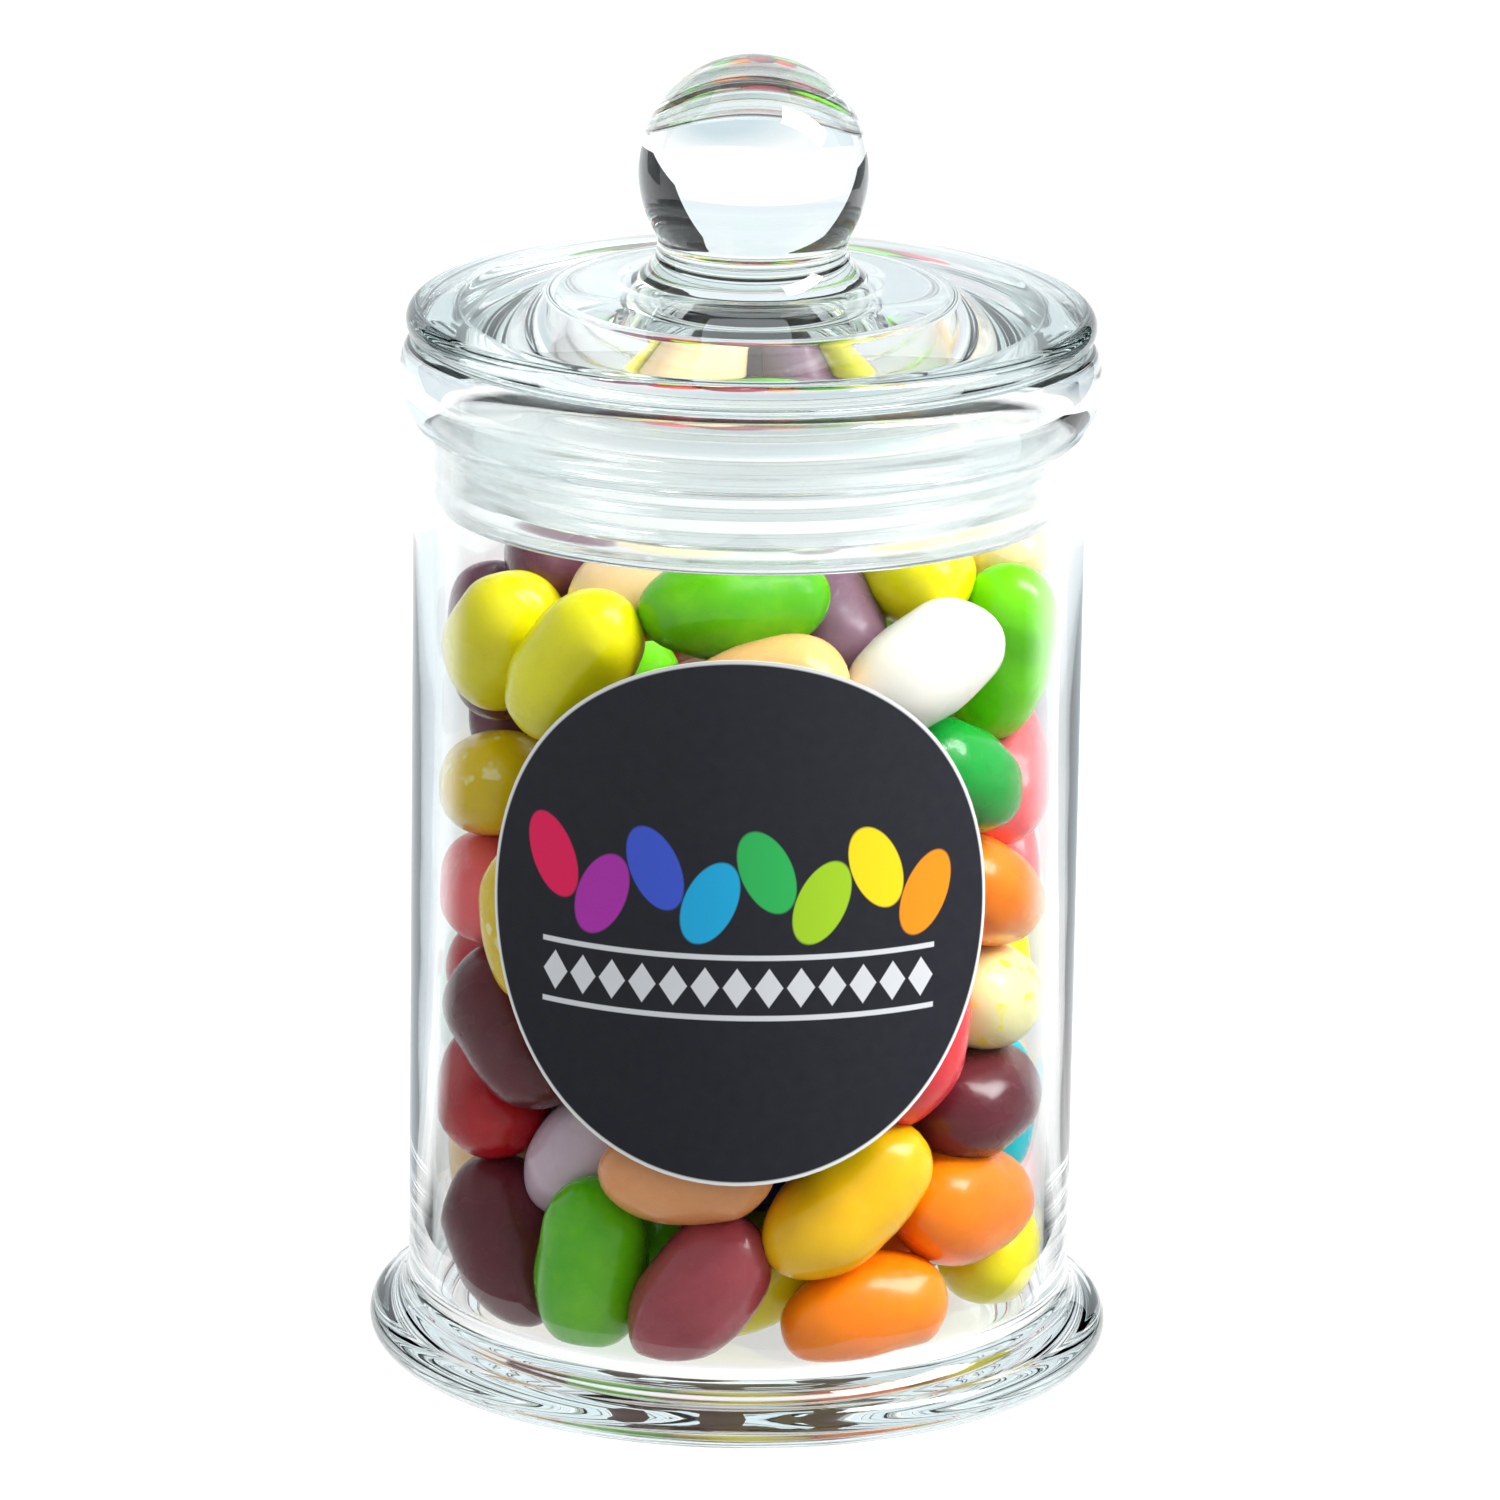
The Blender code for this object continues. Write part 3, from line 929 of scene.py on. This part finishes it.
def candy(flavour, shell, second, share, speckle):
    """A polished sugar shell."""
    made = Material("candy_" + flavour)
    broad = made.noise(160, 2.0)
    fine = made.noise(900, 3.0, 0.6)
    blotch = (broad * 0.7 + fine * 0.3).clipped(0.40, 0.62) * share
    colour = made.mix(blotch, shell, second)
    if speckle:
        spots = made.noise(420, 2.0).clipped(0.62, 0.67)
        colour = made.mix(spots * 0.8, colour, speckle)
    made.set(Base_Color=colour, Roughness=made.noise(300, 2.0) * 0.10 + 0.22)
    made.set(Specular_IOR_Level=0.25, Coat_Weight=0.35, Coat_Roughness=0.08, IOR=1.46)
    made.bump(broad * 0.8 + fine * 0.2, 0.2, 0.0004)
    return made


for flavour, piece in flavour_pieces.items():
    finish(piece, candy(flavour, *CANDY[flavour]), "bean_candy", "jelly_beans")

# %% [markdown]
# ## The core of the heap
#
# The middle of the heap is never seen, so it holds no beans: a slim column stands there
# instead, which the beans lean on. Between the beans a little of it can show, so it is lumpy
# and painted dark brown: painted shade, as dark as a gap between sweets.

# %% Model the core
deselect_objects()
bpy.ops.mesh.primitive_cylinder_add(
    vertices=32,
    radius=CORE_RADIUS * MM,
    depth=(CORE_TOP - FLOOR) * MM,
    location=(0, 0, 0.5 * (CORE_TOP + FLOOR) * MM),
)
core = bpy.context.object
core.name = core.data.name = "heap_core"
bpy.ops.object.transform_apply(location=True, rotation=True, scale=True)
rounded = core.modifiers.new("Rounded", "REMESH")
rounded.mode = "VOXEL"
rounded.voxel_size = 0.0014
bpy.ops.object.modifier_apply(modifier="Rounded")
dent(core, 0.002)
bpy.ops.object.shade_smooth()
# Painted shade: dark browns in lumpy patches, standing in for the shade in the gaps between the beans.
core_candy = Material("core_candy")
patches = core_candy.noise(140, 1.0).clipped(0.4, 0.6)
core_candy.set(Base_Color=core_candy.mix(patches, (0.10, 0.03, 0.02), (0.16, 0.10, 0.01)), Roughness=0.4)
core_candy.bump(patches, 0.4, 0.0005)
finish(core, core_candy, "bean_candy", "jelly_beans")

# %% [markdown]
# ## The studio
#
# Clear glass has no colour of its own: it only shows the room. A white floor that runs into a
# white horizon makes it bright and clean, and a dimmer sky keeps the beans' colours deep. Black
# flags stand to the left and right behind the jar and hang above the horizon. They draw the black
# edges in the ball and the dark bar in its neck. Two glowing cards on the floor carry painted
# shade: blue-grey patches that fade into the floor's white, the jar's painted shadow to the back
# left and a patch of painted shade behind it. An apron of sheets on the floor round the front is
# near black, a painted dark floor that only reflections show. Flags, cards and apron are hidden
# from the camera, so the background stays white.

# %% Build the floor and the sky
scene = bpy.context.scene
scene.view_settings.view_transform = "Standard"
scene.cycles.max_bounces = 20
scene.cycles.glossy_bounces = 14
scene.cycles.transmission_bounces = 20

HORIZON_WHITE = (0.92, 0.99, 1.03)
SKY_ABOVE = (0.58, 0.60, 0.62)
SKY_FRONT = (0.80, 0.83, 0.84)
GROUND_GLOW = (0.55, 0.55, 0.55)

studio = Graph(bpy.data.worlds.new("studio"))
scene.world = studio.data
way_out = studio.node("ShaderNodeTexCoord", output="Generated")
towards = studio.node("ShaderNodeSeparateXYZ", {}, {0: way_out})
rise, depth = towards.part("Z"), towards.part("Y")
sky = studio.mix(rise.clipped(0.50, 0.66), HORIZON_WHITE, SKY_ABOVE)
sky = studio.mix(depth.clipped(-0.25, -0.6), sky, SKY_FRONT)
sky = studio.mix(rise.clipped(-0.10, -0.25), sky, GROUND_GLOW)
studio.feed(studio.nodes["Background"].inputs["Color"], sky)

deselect_objects()
bpy.ops.mesh.primitive_plane_add(size=16, location=(0, 0, cad_low.z))
floor = bpy.context.object
floor.name = floor.data.name = "floor"
bpy.ops.object.transform_apply(location=True, rotation=True, scale=True)
floor_paint = Material("floor_paint")
shade = floor_paint.noise(3, 2.0)
floor_paint.set(Base_Color=floor_paint.mix(shade, (0.22, 0.22, 0.22), (0.24, 0.24, 0.24)), Roughness=0.9)
floor_paint.set(Emission_Color=(1, 1, 1), Emission_Strength=0.92, Specular_IOR_Level=0.0)
floor.data.materials.append(floor_paint.data)
floor.visible_diffuse = False


# %% Stand up the flags
BLACK_CLOTH = ((0.004, 0.004, 0.005), (0.010, 0.010, 0.011))


def hide_from_camera(board, cloth):
    """Gives a board its material and leaves only glass and gloss to see it."""
    board.data.materials.append(cloth.data)
    board.visible_camera = False
    board.visible_diffuse = False
    board.visible_shadow = False


def new_board(name, corners):
    """A flat board between four corners in metres."""
    deselect_objects()
    bpy.ops.mesh.primitive_plane_add(size=2)
    made = bpy.context.object
    made.name = made.data.name = name
    in_turn = sorted(made.data.vertices, key=lambda vert: math.atan2(vert.co.y, vert.co.x))
    for vert, corner in zip(in_turn, corners):
        vert.co = corner
    return made


def floor_corners(near, far, first_turn, last_turn):
    """Corners just over the floor, between two distances and two turns to the right of the back."""
    corners = []
    for reach, turn in ((near, first_turn), (far, first_turn), (far, last_turn), (near, last_turn)):
        angle = math.radians(turn)
        corners.append((reach * math.sin(angle), reach * math.cos(angle), 0.001))
    return corners


def flag_cloth(name):
    """Black cloth that the far side of the jar doesn't show: there it glows like the horizon."""
    cloth = Material(name)
    walls_crossed = cloth.node("ShaderNodeLightPath", output="Transmission Depth")
    weave = cloth.mix(cloth.noise(40, 2.0), *BLACK_CLOTH)
    cloth.set(Base_Color=weave, Roughness=0.9, Specular_IOR_Level=0.0, Emission_Strength=1.0)
    cloth.set(Emission_Color=cloth.mix(walls_crossed.clipped(2.4, 2.6), (0, 0, 0), HORIZON_WHITE))
    return cloth


def flag(name, corners, cloth):
    """A board of this cloth."""
    hide_from_camera(new_board(name, corners), cloth)


def painted_shade_card(name, corners, middle, reach, colour):
    """A card of painted shade that glows in this colour at its middle and fades to the floor's white."""
    cloth = Material(name)
    away = cloth.node("ShaderNodeVectorMath", {"operation": "DISTANCE"}, {0: cloth.place(), 1: middle}, "Value")
    fade = away.clipped(0.3 * reach, reach) + cloth.noise(30, 2.0) * 0.08
    cloth.set(Base_Color=(0, 0, 0), Specular_IOR_Level=0.0, Emission_Strength=1.0)
    cloth.set(Emission_Color=cloth.mix(fade.clipped(0, 1), colour, (1.06, 1.06, 1.06)))
    hide_from_camera(new_board(name, corners), cloth)


def stand_flags(name, posts, cloth):
    """Upright flags from post to post; each post is x, y, and its lower and upper height."""
    for i, (near, far) in enumerate(zip(posts, posts[1:])):
        corners = (
            (near[0], near[1], near[2]),
            (far[0], far[1], far[2]),
            (far[0], far[1], far[3]),
            (near[0], near[1], near[3]),
        )
        flag(f"{name}_{i + 1}", corners, cloth)


side_cloth = flag_cloth("side_cloth")
top_cloth = Material("top_cloth")
top_cloth.set(Base_Color=top_cloth.mix(top_cloth.noise(40, 2.0), *BLACK_CLOTH), Roughness=0.9)
top_cloth.set(Specular_IOR_Level=0.0)
stand_flags(
    "flag_right",
    [
        (0.40, 0.09, 0.0, 0.45),
        (0.30, 0.25, 0.0, 0.45),
        (0.62, 1.03, 0.0, 1.05),
        (0.42, 1.15, 0.43, 1.10),
    ],
    side_cloth,
)
stand_flags(
    "flag_left",
    [
        (-0.42, 0.11, 0.0, 0.45),
        (-0.50, 0.39, 0.0, 0.65),
        (-0.62, 0.77, 0.24, 0.95),
        (-0.60, 0.96, 0.45, 1.10),
        (-0.33, 1.15, 0.59, 1.20),
    ],
    side_cloth,
)
flag("flag_over", [(-0.62, 0.80, 0.62), (0.62, 0.80, 0.62), (0.62, 0.80, 1.50), (-0.62, 0.80, 1.50)], top_cloth)
flag("flag_roof", [(-0.62, 0.00, 1.50), (0.62, 0.00, 1.50), (0.62, 0.80, 1.50), (-0.62, 0.80, 1.50)], top_cloth)

# Painted dark floor and painted floor light: sheets round the front and sides of the jar, hidden from the camera,
# near black towards the front so that the glass and the beans reflect a dark floor there, and glowing the floor's
# white towards the back and wherever they are seen through more than two walls of glass.
apron_cloth = Material("apron_cloth")
spot = apron_cloth.place()
from_axis = apron_cloth.node("ShaderNodeVectorMath", {"operation": "LENGTH"}, {0: spot}, "Value")
backwards = apron_cloth.node("ShaderNodeSeparateXYZ", {}, {0: spot}).part("Y") / from_axis
fade = (backwards + apron_cloth.noise(30, 2.0) * 0.04).clipped(0.36, 0.50)
walls_crossed = apron_cloth.node("ShaderNodeLightPath", output="Transmission Depth")
fade = (fade + walls_crossed.clipped(2.4, 2.6)).clipped(0, 1)
apron_cloth.set(Base_Color=(0, 0, 0), Specular_IOR_Level=0.0, Emission_Strength=1.0)
apron_cloth.set(Emission_Color=apron_cloth.mix(fade, (0.005, 0.005, 0.005), (1.06, 1.06, 1.06)))
for i in range(8):
    corners = floor_corners(0.044, 0.275, 60 + 30 * i, 90 + 30 * i)
    hide_from_camera(new_board(f"apron_{i + 1}", corners), apron_cloth)
# Painted shadow and painted shade on the floor, seen only through the glass: the jar's shadow to the back left,
# and a blue-grey patch behind the jar.
painted_shade_card("card_left", floor_corners(0.05, 0.30, -52, -20), (-0.10, 0.14, 0), 0.40, (0.90, 0.99, 1.04))
painted_shade_card("card_back", floor_corners(0.05, 0.34, -25, 42), (0.04, 0.19, 0), 0.13, (0.66, 0.78, 0.84))

# %% Hang the lamps
def soft_lamp(name, place, aim_at, size, watts, turn=0):
    """A rectangular soft lamp at place that faces aim_at."""
    data = bpy.data.lights.new(name, "AREA")
    data.shape = "RECTANGLE"
    data.size, data.size_y = size
    data.energy = watts
    made = bpy.data.objects.new(name, data)
    scene.collection.objects.link(made)
    made.location = place
    made.rotation_mode = "QUATERNION"
    facing = (Vector(place) - Vector(aim_at)).to_track_quat("Z", "Y")
    made.rotation_quaternion = facing @ Matrix.Rotation(math.radians(turn), 3, "Z").to_quaternion()
    return made


soft_lamp("lamp_key", (0.60, -0.14, 0.70), aim, (0.30, 0.66), 13.0, 25)
